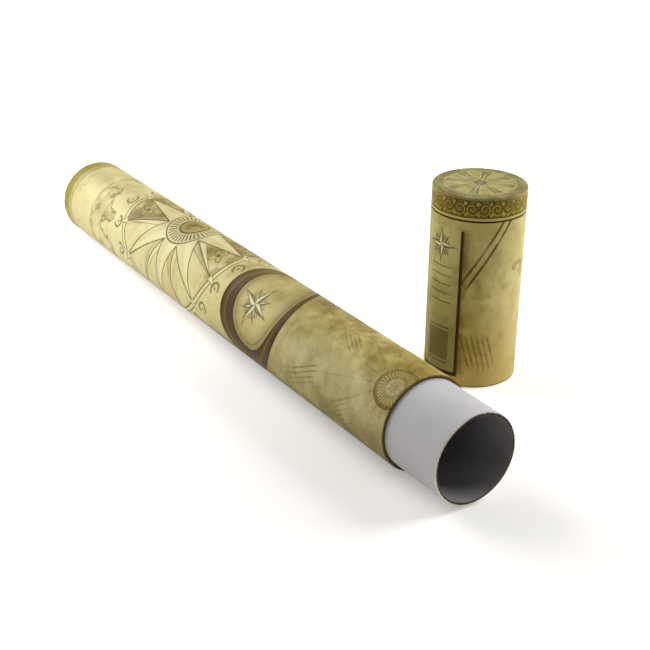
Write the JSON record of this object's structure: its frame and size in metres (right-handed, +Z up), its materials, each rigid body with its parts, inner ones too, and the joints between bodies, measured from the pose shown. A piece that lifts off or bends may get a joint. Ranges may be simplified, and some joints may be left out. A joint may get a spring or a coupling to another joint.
{
  "type": "cardboard mailing tube",
  "caption": "Printed board tube for rolled sheets, lying open with a bare sleeve as its neck, and its deep slip-on cap standing beside it.",
  "frame": {"origin": "middle of the outline's base, on the surface that the tube and the cap lie on", "axes": "+X along the tube's axis towards its open mouth, +Y from the tube to the cap, +Z up along the cap's axis"},
  "size_m": [0.49, 0.164, 0.129],
  "materials": {
    "printed_board": "satin parchment print",
    "liner_paper": "smooth pale grey paper",
    "cover_card": "satin olive print"
  },
  "bodies": {
    "tube": {"body_tube": "printed_board", "neck_liner": "liner_paper", "body_end_cover": "cover_card"},
    "cap": {"cap_tube": "printed_board", "cap_end_cover": "cover_card"}
  },
  "joints": [
    {"name": "cap_lift", "type": "slide", "parent": "tube", "child": "cap", "axis": [0, 0, 1], "range_m": [0, 0.15]}
  ]
}
